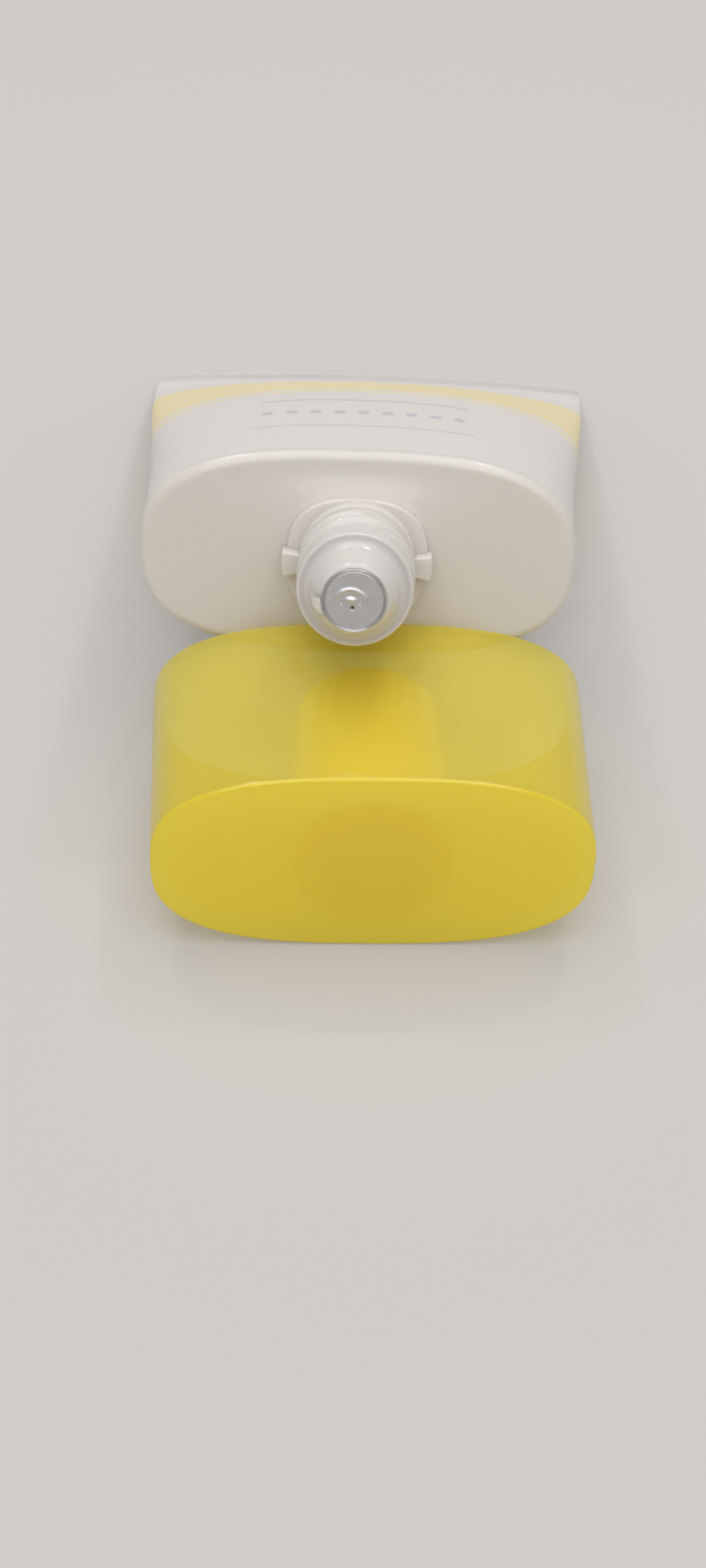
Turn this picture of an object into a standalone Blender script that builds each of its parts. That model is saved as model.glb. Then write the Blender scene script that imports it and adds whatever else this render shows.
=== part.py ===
"""An oval sunscreen squeeze tube that lies with its neck on its own taken-off screw cap.

Metres, +Z up, origin on the table under the middle of the whole object. The cap lies on a broad
side with its closed face towards -Y. The tube's neck rests on the cap's rim and the tube's crimped
end rests on the table. In the frame of the tube and of the cap, +Z points out through the nozzle
and out of the closed face, and +Y is the side that lies uppermost.
"""

from math import asin, atan2, copysign, cos, hypot, pi, radians, sin, tau

import bmesh
import bpy
from mathutils import Matrix, Vector

# The oval that the tube's head and the cap's rim share.
HEAD_WIDTH = 0.0576
HEAD_DEPTH = 0.0276
OVAL_POWER = 2.8

# Clearances.
GAP = 0.0003
THREAD_CLEARANCE = 0.0004
OVERRUN = 0.0004
FUSE_INSET = 0.00015

# Sleeve: a soft film tube, open at the head and pressed flat at the far end.
SLEEVE_LENGTH = 0.1160
SLEEVE_WALL = 0.0006
CRIMP_LENGTH = 0.0070
CRIMP_THICKNESS = 0.0010
CRIMP_BOW = 0.0012
CRIMP_POWER = 6.0
LENS_POWER = 2.0
BELLY_SHARE = 0.80
HOLLOW_SHARE = 0.86
FILL_SHARE = 0.78

# Head: shoulder, low plate round the neck's foot, neck, and the two lugs that stop the cap's turn.
SKIRT_LENGTH = 0.0040
SKIRT_WALL = 0.0010
SHOULDER_EDGE_SIDE = 0.0002
SHOULDER_EDGE_FILLET = 0.0014
SHOULDER_RISE = 0.0008
SHOULDER_WALL = 0.0012
PLATE_HALF_WIDTH = 0.00925
PLATE_UPPER_DEPTH = 0.00785
PLATE_LOWER_DEPTH = 0.0087
PLATE_POWER = 2.6
PLATE_TOP = 0.0041
REST_STATION = 0.0035
FOOT_RADIUS = 0.00765
FOOT_TOP = 0.0060
NECK_RADIUS = 0.0070
THREAD_RADIUS = 0.0076
NECK_BAND_RADIUS = 0.0074
NECK_BAND_LENGTH = 0.0038
NECK_BAND_BEVEL = 0.0004
NECK_TOP = 0.0195
NECK_BORE_RADIUS = 0.0059
LUG_RADIUS = 0.00945
LUG_HEIGHT = 0.0030
LUG_TOP = 0.0065

# Nozzle insert: a plug in the neck with a cone and a small orifice.
FLANGE_RADIUS = 0.00655
FLANGE_THICKNESS = 0.0011
CONE_BASE_RADIUS = 0.0063
CONE_HEIGHT = 0.0046
LAND_RADIUS = 0.0044
ORIFICE_RADIUS = 0.0016
NOZZLE_WALL = 0.0011
PLUG_LENGTH = 0.0085

# Foil seal on the nozzle's land, with an embossed ring, a bead round its edge and a pull tab.
FOIL_RADIUS = 0.0041
FOIL_THICKNESS = 0.00030
BEAD_WIDTH = 0.00050
BEAD_RISE = 0.00020
EMBOSS_RADIUS = 0.00205
EMBOSS_WIDTH = 0.00080
EMBOSS_RISE = 0.00012
TAB_LENGTH = 0.0016
TAB_WIDTH = 0.0031
TAB_TURN = radians(8)

# Cap: an oval shell with a screw socket standing on the inside of its closed face.
CAP_LENGTH = 0.0334
CAP_FACE_WIDTH = 0.0560
CAP_FACE_DEPTH = 0.0269
CAP_WALL = 0.0013
CAP_FACE_THICKNESS = 0.0016
CAP_FILLET = 0.0012
CAP_INNER_FILLET = 0.0008
SOCKET_WALL = 0.0021
SOCKET_BASE = 0.0012
TONGUE_LENGTH = 0.0020
TONGUE_SPAN_SHARE = 0.84
SEAL_RING_RADIUS = 0.0049
SEAL_RING_WALL = 0.0011

# The tube lies a little askew of the cap.
TUBE_SWING = radians(2.8)
TUBE_SIDE_OFFSET = -0.0019

# Facets.
AROUND = 64
TURNED_AROUND = 48
FILLET_STEPS = 4
FILM_STEPS = 12
SMOOTH_ANGLE = radians(35)


def clear_scene():
    for item in list(bpy.data.objects):
        bpy.data.objects.remove(item, do_unlink=True)


def make_material(name, colour, roughness, metallic=0.0, alpha=1.0):
    made = bpy.data.materials.new(name)
    made.use_nodes = True
    shader = made.node_tree.nodes["Principled BSDF"]
    shader.inputs["Base Color"].default_value = (*colour, 1.0)
    shader.inputs["Roughness"].default_value = roughness
    shader.inputs["Metallic"].default_value = metallic
    shader.inputs["Alpha"].default_value = alpha
    return made


def make_frame(name):
    frame = bpy.data.objects.new(name, None)
    bpy.context.scene.collection.objects.link(frame)
    return frame


def oval(half_width, half_depth, power=OVAL_POWER, count=AROUND):
    """Points round an oval whose sides flatten as its power grows. Power 2 is an ellipse."""
    points = []
    for step in range(count):
        angle = tau * step / count
        across = copysign(abs(cos(angle)) ** (2 / power), cos(angle))
        up = copysign(abs(sin(angle)) ** (2 / power), sin(angle))
        points.append((half_width * across, half_depth * up))
    return points


def circle(radius, count=AROUND):
    return oval(radius, radius, 2.0, count)


def at_height(points, height):
    return [Vector((x, y, height)) for x, y in points]


def between(first, second, share):
    return [(a[0] + (b[0] - a[0]) * share, a[1] + (b[1] - a[1]) * share) for a, b in zip(first, second)]


def oval_reach(angle, half_width, half_depth, power):
    """Distance from the centre to the oval in one direction."""
    across = abs(cos(angle) / half_width) ** power
    up = abs(sin(angle) / half_depth) ** power
    return (across + up) ** (-1 / power)


def length_round(points):
    following = points[1:] + points[:1]
    return sum(hypot(b[0] - a[0], b[1] - a[1]) for a, b in zip(points, following))


def loft(name, rings, material, frame, ring_shaped=False):
    """One closed body through rings of points. A ring-shaped body joins its last ring to its first."""
    work = bmesh.new()
    loops = [[work.verts.new(point) for point in ring] for ring in rings]
    following = loops[1:] + (loops[:1] if ring_shaped else [])
    for first, second in zip(loops, following):
        for i in range(len(first)):
            work.faces.new((first[i - 1], first[i], second[i], second[i - 1]))
    if not ring_shaped:
        work.faces.new(loops[0])
        work.faces.new(loops[-1])
    bmesh.ops.recalc_face_normals(work, faces=work.faces)
    mesh = bpy.data.meshes.new(name)
    work.to_mesh(mesh)
    work.free()
    mesh.shade_smooth()
    mesh.set_sharp_from_angle(angle=SMOOTH_ANGLE)
    mesh.materials.append(material)
    made = bpy.data.objects.new(name, mesh)
    made.parent = frame
    bpy.context.scene.collection.objects.link(made)
    return made


def fuse(body, addition):
    """Unites an added shape with a body. The added shape stays as a guide that isn't a piece."""
    addition.hide_render = True
    addition.display_type = "WIRE"
    union = body.modifiers.new(addition.name, "BOOLEAN")
    union.operation = "UNION"
    union.solver = "EXACT"
    union.object = addition


def arc_block(name, middle, span, outer, profile, material, frame):
    """A curved block round the axis. Where its profile gives no radius, it reaches the outer oval."""
    steps = max(4, round(span / tau * AROUND))
    rings = []
    for step in range(steps + 1):
        angle = middle + span * (step / steps - 0.5)
        reach = oval_reach(angle, *outer)
        corners = [(radius or reach, height) for radius, height in profile]
        rings.append([Vector((radius * cos(angle), radius * sin(angle), height)) for radius, height in corners])
    return loft(name, rings, material, frame)


def film_half_width(half_depth, power):
    """Half width of a film section: the film doesn't stretch, so its length round stays the head's."""
    film = length_round(oval(HEAD_WIDTH / 2, HEAD_DEPTH / 2))
    low, high = half_depth, film / 2
    for _ in range(40):
        middle = (low + high) / 2
        if length_round(oval(middle, half_depth, power)) < film:
            low = middle
        else:
            high = middle
    return (low + high) / 2


def film_section(share, inset, power=None):
    """Section of the sleeve at a share of its tapered length, drawn in from the outer side by inset."""
    fall = (1 - share) * (1 + BELLY_SHARE * share)
    half_depth = CRIMP_THICKNESS / 2 + (HEAD_DEPTH - CRIMP_THICKNESS) / 2 * fall
    lens = OVAL_POWER + (LENS_POWER - OVAL_POWER) * share
    half_width = film_half_width(half_depth, lens)
    drawn = oval(half_width - inset, half_depth - inset, power or lens)
    bow = CRIMP_BOW * share
    return [(x, y + bow * (1 - (x / half_width) ** 2)) for x, y in drawn]


def taper_length():
    return SLEEVE_LENGTH - CRIMP_LENGTH


def film_ring(share, inset, power=None):
    return at_height(film_section(share, inset, power), -share * taper_length())


def make_sleeve(material, frame):
    inner = [film_ring(HOLLOW_SHARE * (1 - step / FILM_STEPS), SLEEVE_WALL) for step in range(FILM_STEPS + 1)]
    outer = [film_ring(step / FILM_STEPS, 0) for step in range(FILM_STEPS)]
    band = film_section(1, 0, CRIMP_POWER)
    flat = [at_height(band, -taper_length()), at_height(band, -SLEEVE_LENGTH)]
    return loft("tube_sleeve", inner + outer + flat, material, frame)


def edge_top():
    return GAP + SHOULDER_EDGE_SIDE + SHOULDER_EDGE_FILLET


def shoulder_roof():
    """Height of the shoulder's inner side at its oval edge."""
    return edge_top() - SHOULDER_WALL


def plate_outline():
    """Oval of the plate round the neck's foot, deeper on its lower side."""
    upper = oval(PLATE_HALF_WIDTH, PLATE_UPPER_DEPTH, PLATE_POWER)
    lower_share = PLATE_LOWER_DEPTH / PLATE_UPPER_DEPTH
    return [(x, y if y > 0 else y * lower_share) for x, y in upper]


def shoulder_rings(start, end, low, high, steps):
    """Rings of the shoulder between two outlines, steepest at the end."""
    rings = []
    for step in range(1, steps + 1):
        share = step / steps
        rings.append(at_height(between(start, end, share), low + (high - low) * share ** 2))
    return rings


def make_fill(material, frame):
    """The lotion fills the neck, the shoulder and most of the sleeve, with a gap to every wall."""
    inset = SLEEVE_WALL + GAP
    throat = inset + SKIRT_WALL + GAP
    start = (SKIRT_LENGTH + GAP) / taper_length()
    bore = circle(NECK_BORE_RADIUS - GAP)
    roof = shoulder_roof() - GAP
    rings = [at_height(bore, NECK_TOP - PLUG_LENGTH - GAP), at_height(bore, roof + SHOULDER_RISE)]
    rings += shoulder_rings(bore, film_section(0, throat), roof + SHOULDER_RISE, roof, 2)
    rings.append(film_ring(start, throat))
    for step in range(FILM_STEPS + 1):
        rings.append(film_ring(start + (FILL_SHARE - start) * step / FILM_STEPS, inset))
    return loft("lotion_fill", rings, material, frame)


def make_head(material, frame):
    plug_inset = SLEEVE_WALL + GAP
    skirt_share = SKIRT_LENGTH / taper_length()
    half_width = HEAD_WIDTH / 2
    half_depth = HEAD_DEPTH / 2
    side_top = GAP + SHOULDER_EDGE_SIDE
    outer = [film_ring(skirt_share, plug_inset), at_height(film_section(0, plug_inset), GAP)]
    outer += [at_height(oval(half_width, half_depth), height) for height in (GAP, side_top)]
    for step in range(1, FILLET_STEPS + 1):
        angle = pi / 2 * step / FILLET_STEPS
        inset = SHOULDER_EDGE_FILLET * (1 - cos(angle))
        height = side_top + SHOULDER_EDGE_FILLET * sin(angle)
        outer.append(at_height(oval(half_width - inset, half_depth - inset), height))
    edge = oval(half_width - SHOULDER_EDGE_FILLET, half_depth - SHOULDER_EDGE_FILLET)
    plate = plate_outline()
    outer += shoulder_rings(edge, plate, edge_top(), edge_top() + SHOULDER_RISE, 4)
    outer.append(at_height(plate, PLATE_TOP))
    band_low = NECK_TOP - NECK_BAND_LENGTH
    bevel = NECK_BAND_BEVEL
    turned = (
        (FOOT_RADIUS, PLATE_TOP),
        (FOOT_RADIUS, FOOT_TOP),
        (NECK_RADIUS, FOOT_TOP),
        (NECK_RADIUS, band_low - bevel),
        (NECK_BAND_RADIUS, band_low),
        (NECK_BAND_RADIUS, NECK_TOP - bevel),
        (NECK_BAND_RADIUS - bevel, NECK_TOP),
        (FLANGE_RADIUS + GAP, NECK_TOP),
        (FLANGE_RADIUS + GAP, NECK_TOP - FLANGE_THICKNESS - GAP),
        (NECK_BORE_RADIUS, NECK_TOP - FLANGE_THICKNESS - GAP),
        (NECK_BORE_RADIUS, shoulder_roof() + SHOULDER_RISE),
    )
    neck = [at_height(circle(radius), height) for radius, height in turned]
    plug_inner = plug_inset + SKIRT_WALL
    under = film_section(0, plug_inner)
    roof = shoulder_roof()
    inner = shoulder_rings(circle(NECK_BORE_RADIUS), under, roof + SHOULDER_RISE, roof, 2)
    inner.append(film_ring(skirt_share, plug_inner))
    head = loft("tube_head", outer + neck + inner, material, frame, ring_shaped=True)
    lug_inner = NECK_RADIUS - FUSE_INSET
    lug_foot = edge_top() + FUSE_INSET
    lug_profile = ((lug_inner, lug_foot), (None, lug_foot), (None, LUG_TOP), (lug_inner, LUG_TOP))
    lug_span = LUG_HEIGHT / LUG_RADIUS
    lug_oval = (LUG_RADIUS, LUG_RADIUS, 2.0)
    for name, middle in (("lug_right_guide", 0.0), ("lug_left_guide", pi)):
        lug = arc_block(name, middle, lug_span, lug_oval, lug_profile, material, frame)
        fuse(head, lug)
    return head


def cone_height_at(radius):
    """Height on the nozzle's cone where it has this radius."""
    return NECK_TOP + CONE_HEIGHT * (CONE_BASE_RADIUS - radius) / (CONE_BASE_RADIUS - LAND_RADIUS)


def make_nozzle(material, frame):
    plug = NECK_BORE_RADIUS - GAP
    land = cone_height_at(LAND_RADIUS)
    profile = (
        (plug, NECK_TOP - PLUG_LENGTH),
        (plug, NECK_TOP - FLANGE_THICKNESS),
        (FLANGE_RADIUS, NECK_TOP - FLANGE_THICKNESS),
        (FLANGE_RADIUS, NECK_TOP),
        (CONE_BASE_RADIUS, NECK_TOP),
        (LAND_RADIUS, land),
        (ORIFICE_RADIUS, land),
        (ORIFICE_RADIUS, land - NOZZLE_WALL),
        (LAND_RADIUS - NOZZLE_WALL, land - NOZZLE_WALL),
        (plug - NOZZLE_WALL, NECK_TOP - NOZZLE_WALL),
        (plug - NOZZLE_WALL, NECK_TOP - PLUG_LENGTH),
    )
    rings = [at_height(circle(radius, TURNED_AROUND), height) for radius, height in profile]
    return loft("nozzle_insert", rings, material, frame, ring_shaped=True)


def make_foil(material, frame):
    """The seal turns about its edge opposite the tab, so that edge's foot is its origin."""
    top = FOIL_THICKNESS
    profile = (
        (FOIL_RADIUS, 0),
        (FOIL_RADIUS, top + BEAD_RISE),
        (FOIL_RADIUS - BEAD_WIDTH / 2, top + BEAD_RISE),
        (FOIL_RADIUS - BEAD_WIDTH, top),
        (EMBOSS_RADIUS + EMBOSS_WIDTH / 2, top),
        (EMBOSS_RADIUS, top + EMBOSS_RISE),
        (EMBOSS_RADIUS - EMBOSS_WIDTH / 2, top),
    )
    centre = Vector((-FOIL_RADIUS, 0, 0))
    rings = []
    for radius, height in profile:
        rings.append([point + centre for point in at_height(circle(radius, TURNED_AROUND), height)])
    foil = loft("foil_seal", rings, material, frame)
    slope = atan2(CONE_HEIGHT, CONE_BASE_RADIUS - LAND_RADIUS)
    edge = Vector((-2 * FOIL_RADIUS, 0, 0))
    outward = Vector((-cos(slope), 0, -sin(slope)))
    thick = Vector((0, 0, FOIL_THICKNESS))
    bend = edge + Vector((FOIL_RADIUS - LAND_RADIUS - GAP, 0, 0))
    stations = (edge + Vector((BEAD_WIDTH, 0, 0)), bend, bend + outward * TAB_LENGTH)
    side = Vector((0, TAB_WIDTH / 2, 0))
    strips = [[spot - side, spot + side, spot + side + thick, spot - side + thick] for spot in stations]
    tab = loft("tab_guide", strips, material, frame)
    fuse(foil, tab)
    out = Matrix.Rotation(TAB_TURN, 3, "Z") @ Vector((FOIL_RADIUS, 0, 0))
    for shape in (foil, tab):
        shape.rotation_euler = (0, 0, TAB_TURN)
        shape.location = out + Vector((0, 0, cone_height_at(LAND_RADIUS) + GAP))
    return foil


def cap_outline(height, inset):
    """The cap's oval at a height above its rim: it narrows evenly from the rim to the closed face."""
    share = height / CAP_LENGTH
    half_width = (HEAD_WIDTH + (CAP_FACE_WIDTH - HEAD_WIDTH) * share) / 2
    half_depth = (HEAD_DEPTH + (CAP_FACE_DEPTH - HEAD_DEPTH) * share) / 2
    return oval(half_width - inset, half_depth - inset)


def cap_side(top, wall, fillet):
    """Rings up one side of the cap's wall and round the fillet at its top."""
    heights = (0, top - fillet)
    rings = [at_height(cap_outline(height, wall), height) for height in heights]
    for step in range(1, FILLET_STEPS + 1):
        angle = pi / 2 * step / FILLET_STEPS
        height = top - fillet * (1 - sin(angle))
        rings.append(at_height(cap_outline(height, wall + fillet * (1 - cos(angle))), height))
    return rings


def make_cap_shell(material, frame):
    inner = cap_side(CAP_LENGTH - CAP_FACE_THICKNESS, CAP_WALL, CAP_INNER_FILLET)
    outer = cap_side(CAP_LENGTH, 0, CAP_FILLET)
    return loft("cap_shell", inner[::-1] + outer, material, frame)


def seat_height():
    """Where the seated cap's rim comes, above the tube's own origin."""
    return edge_top() + GAP


def make_socket(material, frame):
    bore = THREAD_RADIUS + THREAD_CLEARANCE
    outer = bore + SOCKET_WALL
    top = CAP_LENGTH - CAP_FACE_THICKNESS - GAP
    floor = top - SOCKET_BASE
    mouth = LUG_TOP + GAP - seat_height()
    ring_end = cone_height_at(SEAL_RING_RADIUS - GAP) - seat_height()
    ring_outer = SEAL_RING_RADIUS + SEAL_RING_WALL
    profile = (
        (outer, top),
        (outer, mouth),
        (bore, mouth),
        (bore, floor),
        (ring_outer, floor),
        (ring_outer, ring_end),
        (SEAL_RING_RADIUS, ring_end),
        (SEAL_RING_RADIUS, floor),
    )
    rings = [at_height(circle(radius, TURNED_AROUND), height) for radius, height in profile]
    socket = loft("cap_socket", rings, material, frame)
    low = mouth - TONGUE_LENGTH
    high = mouth + OVERRUN
    inner = bore + FUSE_INSET
    tongue_oval = (outer - FUSE_INSET, outer - FUSE_INSET, 2.0)
    tongue_profile = ((inner, low), (None, low), (None, high), (inner, high))
    span = pi * TONGUE_SPAN_SHARE
    fuse(socket, arc_block("tongue_guide", -pi / 2, span, tongue_oval, tongue_profile, material, frame))
    return socket


def place_cap(frame):
    """Lays the cap on a broad side, with its closed face at y = 0."""
    lean = atan2((HEAD_DEPTH - CAP_FACE_DEPTH) / 2, CAP_LENGTH)
    frame.rotation_euler = (pi / 2 + lean, 0, 0)
    rim_foot = CAP_LENGTH * cos(lean)
    frame.location = (0, rim_foot - HEAD_DEPTH / 2 * sin(lean), HEAD_DEPTH / 2 * cos(lean))


def place_tube(frame, cap_frame):
    """Lays the tube's plate on the top of the cap's rim and its crimp on the table."""
    rim_top = cap_frame.matrix_basis @ Vector((0, HEAD_DEPTH / 2, 0))
    stand_off = PLATE_LOWER_DEPTH + GAP
    reach = REST_STATION + SLEEVE_LENGTH
    under = stand_off - CRIMP_THICKNESS / 2
    tilt = atan2(under, reach) + asin(rim_top.z / hypot(under, reach))
    turn = Matrix.Rotation(-TUBE_SWING, 4, "Z") @ Matrix.Rotation(pi / 2 - tilt, 4, "X")
    seat = turn @ Vector((0, stand_off, -REST_STATION))
    frame.matrix_basis = Matrix.Translation(Vector((TUBE_SIDE_OFFSET, rim_top.y, rim_top.z)) + seat) @ turn


def pieces():
    return [item for item in bpy.context.scene.objects if item.type == "MESH" and not item.hide_render]


def centre_on_origin(frames):
    """Moves the whole object so that the middle of its base is the origin."""
    bpy.context.view_layer.update()
    graph = bpy.context.evaluated_depsgraph_get()
    corners = []
    for piece in pieces():
        shape = piece.evaluated_get(graph)
        corners += [shape.matrix_world @ vertex.co for vertex in shape.data.vertices]
    low = Vector([min(corner[axis] for corner in corners) for axis in range(3)])
    high = Vector([max(corner[axis] for corner in corners) for axis in range(3)])
    shift = Vector(((low.x + high.x) / 2, (low.y + high.y) / 2, low.z))
    for frame in frames:
        frame.matrix_basis = Matrix.Translation(-shift) @ frame.matrix_basis


def main():
    clear_scene()
    white_film = make_material("white_film", (0.86, 0.85, 0.82), 0.38)
    white_plastic = make_material("white_plastic", (0.84, 0.83, 0.80), 0.34)
    foil = make_material("silver_foil", (0.66, 0.65, 0.64), 0.30, metallic=0.9)
    lotion = make_material("white_lotion", (0.92, 0.91, 0.87), 0.45)
    yellow = make_material("clear_yellow", (0.84, 0.74, 0.22), 0.22, alpha=0.75)
    tube_frame = make_frame("tube_frame")
    cap_frame = make_frame("cap_frame")
    make_sleeve(white_film, tube_frame)
    make_fill(lotion, tube_frame)
    make_head(white_plastic, tube_frame)
    make_nozzle(white_plastic, tube_frame)
    make_foil(foil, tube_frame)
    make_cap_shell(yellow, cap_frame)
    make_socket(yellow, cap_frame)
    place_cap(cap_frame)
    place_tube(tube_frame, cap_frame)
    centre_on_origin((tube_frame, cap_frame))


main()
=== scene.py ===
# Oval squeeze tube of sunscreen with its neck resting on its own taken-off screw cap
import math

import bmesh
import bpy
from mathutils import Matrix, Vector, noise


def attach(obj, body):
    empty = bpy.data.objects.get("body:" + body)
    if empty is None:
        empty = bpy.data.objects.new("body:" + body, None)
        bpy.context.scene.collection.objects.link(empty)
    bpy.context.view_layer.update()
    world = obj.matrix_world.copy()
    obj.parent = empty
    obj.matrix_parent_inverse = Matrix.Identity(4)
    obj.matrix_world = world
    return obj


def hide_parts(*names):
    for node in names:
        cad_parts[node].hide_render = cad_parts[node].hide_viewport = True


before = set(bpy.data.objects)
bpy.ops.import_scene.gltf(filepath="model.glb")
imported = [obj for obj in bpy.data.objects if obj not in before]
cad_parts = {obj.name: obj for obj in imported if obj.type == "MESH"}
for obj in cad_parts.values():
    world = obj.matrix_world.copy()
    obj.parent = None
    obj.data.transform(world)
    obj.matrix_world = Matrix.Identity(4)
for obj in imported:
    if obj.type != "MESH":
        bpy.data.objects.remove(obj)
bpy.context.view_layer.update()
print(f"stage 1: packed model of {len(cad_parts)} solids loaded")

# the oval that the tube's head and the cap's rim share, and how the tube and the cap lie, in metres and degrees
headOval = {"halfWidth": 0.0288, "halfDepth": 0.013795, "power": 2.8}
tubeLie = {"origin": (-0.0051773, -0.0365085, 0.0351413), "swing": 2.8, "pitch": 72.61271}
capLie = {"origin": (-0.0035718, -0.0423862, 0.0137992), "swing": 0.0, "pitch": 90.60038}


def placeOf(lie):
    swing = Matrix.Rotation(-math.radians(lie["swing"]), 4, "Z")
    pitch = Matrix.Rotation(math.radians(lie["pitch"]), 4, "X")
    return Matrix.Translation(lie["origin"]) @ (swing @ pitch)


tubePlace = placeOf(tubeLie)
capPlace = placeOf(capLie)


# shape helpers: a ring of points is pulled along by extrusion and set to one section after another,
# and a section is a function that gives a point's place from its turn round the axis

def ovalPoint(turn, halfWidth, halfDepth, power):
    across, up = math.cos(turn), math.sin(turn)
    reach = (abs(across) ** power + abs(up) ** power) ** (-1 / power)
    return halfWidth * across * reach, halfDepth * up * reach


def ovalRing(halfWidth, halfDepth, z, power=2.0):
    return lambda turn: Vector((*ovalPoint(turn, halfWidth, halfDepth, power), z))


def roundRing(radius, z):
    return ovalRing(radius, radius, z)


def between(first, second, share, z):
    def section(turn):
        mixed = first(turn).lerp(second(turn), share)
        return Vector((mixed.x, mixed.y, z))
    return section


def smooth(value):
    value = min(1.0, max(0.0, value))
    return value * value * (3 - 2 * value)


def quarterRound(steps, first=0):
    # how far a rounded edge draws in and how far it climbs at each step, as shares of its radius
    angles = [math.pi / 2 * step / steps for step in range(first, steps + 1)]
    return [(1 - math.cos(angle), math.sin(angle)) for angle in angles]


def pulledBody(sections, around, joined=False):
    # joined bridges the last ring to the first; otherwise both ends are closed with a face
    work = bmesh.new()
    turnOf = work.verts.layers.float.new("turn")
    start = bmesh.ops.create_circle(work, cap_ends=not joined, segments=around, radius=1.0)["verts"]
    for vert in start:
        vert[turnOf] = math.atan2(vert.co.y, vert.co.x)
        vert.co = sections[0](vert[turnOf])
    first = edges = list(work.edges)
    for section in sections[1:]:
        made = bmesh.ops.extrude_edge_only(work, edges=edges)["geom"]
        fresh = {item for item in made if isinstance(item, bmesh.types.BMVert)}
        for vert in fresh:
            vert.co = section(vert[turnOf])
        edges = [item for item in made if isinstance(item, bmesh.types.BMEdge) and set(item.verts) <= fresh]
    if joined:
        bmesh.ops.bridge_loops(work, edges=first + edges)
    else:
        bmesh.ops.contextual_create(work, geom=edges)
    return work


def roundedCorner(before, corner, after, radius, steps=4):
    # points of a small fillet where two straight runs of a turned profile meet
    before, corner, after = Vector(before), Vector(corner), Vector(after)
    start = corner + (before - corner).normalized() * radius
    end = corner + (after - corner).normalized() * radius
    shares = [step / steps for step in range(steps + 1)]
    return [start.lerp(corner, share).lerp(corner.lerp(end, share), share) for share in shares]


def turnedProfile(corners):
    # corners are (radius, z, fillet); the profile runs through them with each corner rounded by its fillet
    points = []
    for index, (radius, z, fillet) in enumerate(corners):
        if fillet and 0 < index < len(corners) - 1:
            points += roundedCorner(corners[index - 1][:2], (radius, z), corners[index + 1][:2], fillet)
        else:
            points.append(Vector((radius, z)))
    return [roundRing(point.x, point.y) for point in points]


def finishPiece(work, name, place, body, node, material, sharp=32):
    bmesh.ops.remove_doubles(work, verts=work.verts, dist=1e-6)
    bmesh.ops.recalc_face_normals(work, faces=work.faces)
    mesh = bpy.data.meshes.new(name)
    work.to_mesh(mesh)
    work.free()
    spot = mesh.attributes.new("place", "FLOAT_VECTOR", "POINT")  # a point's place on the upright tube or cap, in mm
    flat = [0.0] * (len(mesh.vertices) * 3)
    mesh.vertices.foreach_get("co", flat)
    spot.data.foreach_set("vector", [value * 1000 for value in flat])
    mesh.transform(place)
    mesh.shade_smooth()
    mesh.set_sharp_from_angle(angle=math.radians(sharp))
    mesh.materials.append(material)
    piece = bpy.data.objects.new(name, mesh)
    bpy.context.scene.collection.objects.link(piece)
    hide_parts(node)
    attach(piece, body)


# shader helpers

class Wire:  # one output socket; sums and products on it add their Math nodes
    def __init__(self, board, socket):
        self.board = board
        self.socket = socket

    def maths(self, operation, *others):
        return self.board.add("Math", {"operation": operation}, dict(enumerate((self, *others))))

    def flipped(self, operation, other):
        return self.board.add("Math", {"operation": operation}, {0: other, 1: self})

    def __add__(self, other):
        return self.maths("ADD", other)

    def __sub__(self, other):
        return self.maths("SUBTRACT", other)

    def __rsub__(self, other):
        return self.flipped("SUBTRACT", other)

    def __mul__(self, other):
        return self.maths("MULTIPLY", other)

    def __truediv__(self, other):
        return self.maths("DIVIDE", other)

    def __rtruediv__(self, other):
        return self.flipped("DIVIDE", other)

    def __abs__(self):
        return self.maths("ABSOLUTE")

    __radd__ = __add__
    __rmul__ = __mul__

    def clipped(self):
        return self.board.add("Clamp", None, {"Value": self})

    def smoothed(self):
        return self.board.add("MapRange", {"interpolation_type": "SMOOTHSTEP"}, {"Value": self})


class Board:  # the node tree of one material
    def __init__(self, name, constants):
        self.material = bpy.data.materials.new(name)
        self.material.use_nodes = True
        self.tree = self.material.node_tree
        self.surface = self.tree.nodes["Principled BSDF"]
        for socket, value in constants.items():
            self.paint(socket, value)

    def add(self, kind, settings=None, sockets=None, output=0):
        node = self.tree.nodes.new("ShaderNode" + kind)
        for key, value in (settings or {}).items():
            setattr(node, key, value)
        for key, value in (sockets or {}).items():
            self.feed(node.inputs[key], value)
        return Wire(self, node.outputs[output])

    def feed(self, socket, value):
        if isinstance(value, Wire):
            self.tree.links.new(value.socket, socket)
        else:
            socket.default_value = value

    def paint(self, socket, value):
        self.feed(self.surface.inputs[socket], value)

    def plain(self):
        return Wire(self, self.surface.outputs[0])

    def show(self, shader):
        self.feed(self.tree.nodes["Material Output"].inputs["Surface"], shader)

    def objectPlace(self):
        return self.add("TexCoord", output="Object")

    def spot(self):  # across, up and along the upright piece, in mm
        return self.add("Attribute", {"attribute_name": "place"}, output="Vector")

    def split(self, vector):
        node = self.add("SeparateXYZ", None, {0: vector}).socket.node
        return [Wire(self, socket) for socket in node.outputs]

    def grain(self, vector, scale, detail=3.0, roughness=0.55):
        sockets = {"Vector": vector, "Scale": scale, "Detail": detail, "Roughness": roughness}
        return self.add("TexNoise", None, sockets)

    def blend(self, share, first, second):
        return self.add("Mix", {"data_type": "RGBA"}, {0: share, 6: first, 7: second}, 2)

    def bump(self, height, distance, strength=1.0, under=None):
        sockets = {"Height": height, "Distance": distance, "Strength": strength}
        if under:
            sockets["Normal"] = under
        return self.add("Bump", None, sockets)


# the sleeve's film: its print and its crimp are placed in mm down from the head

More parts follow.
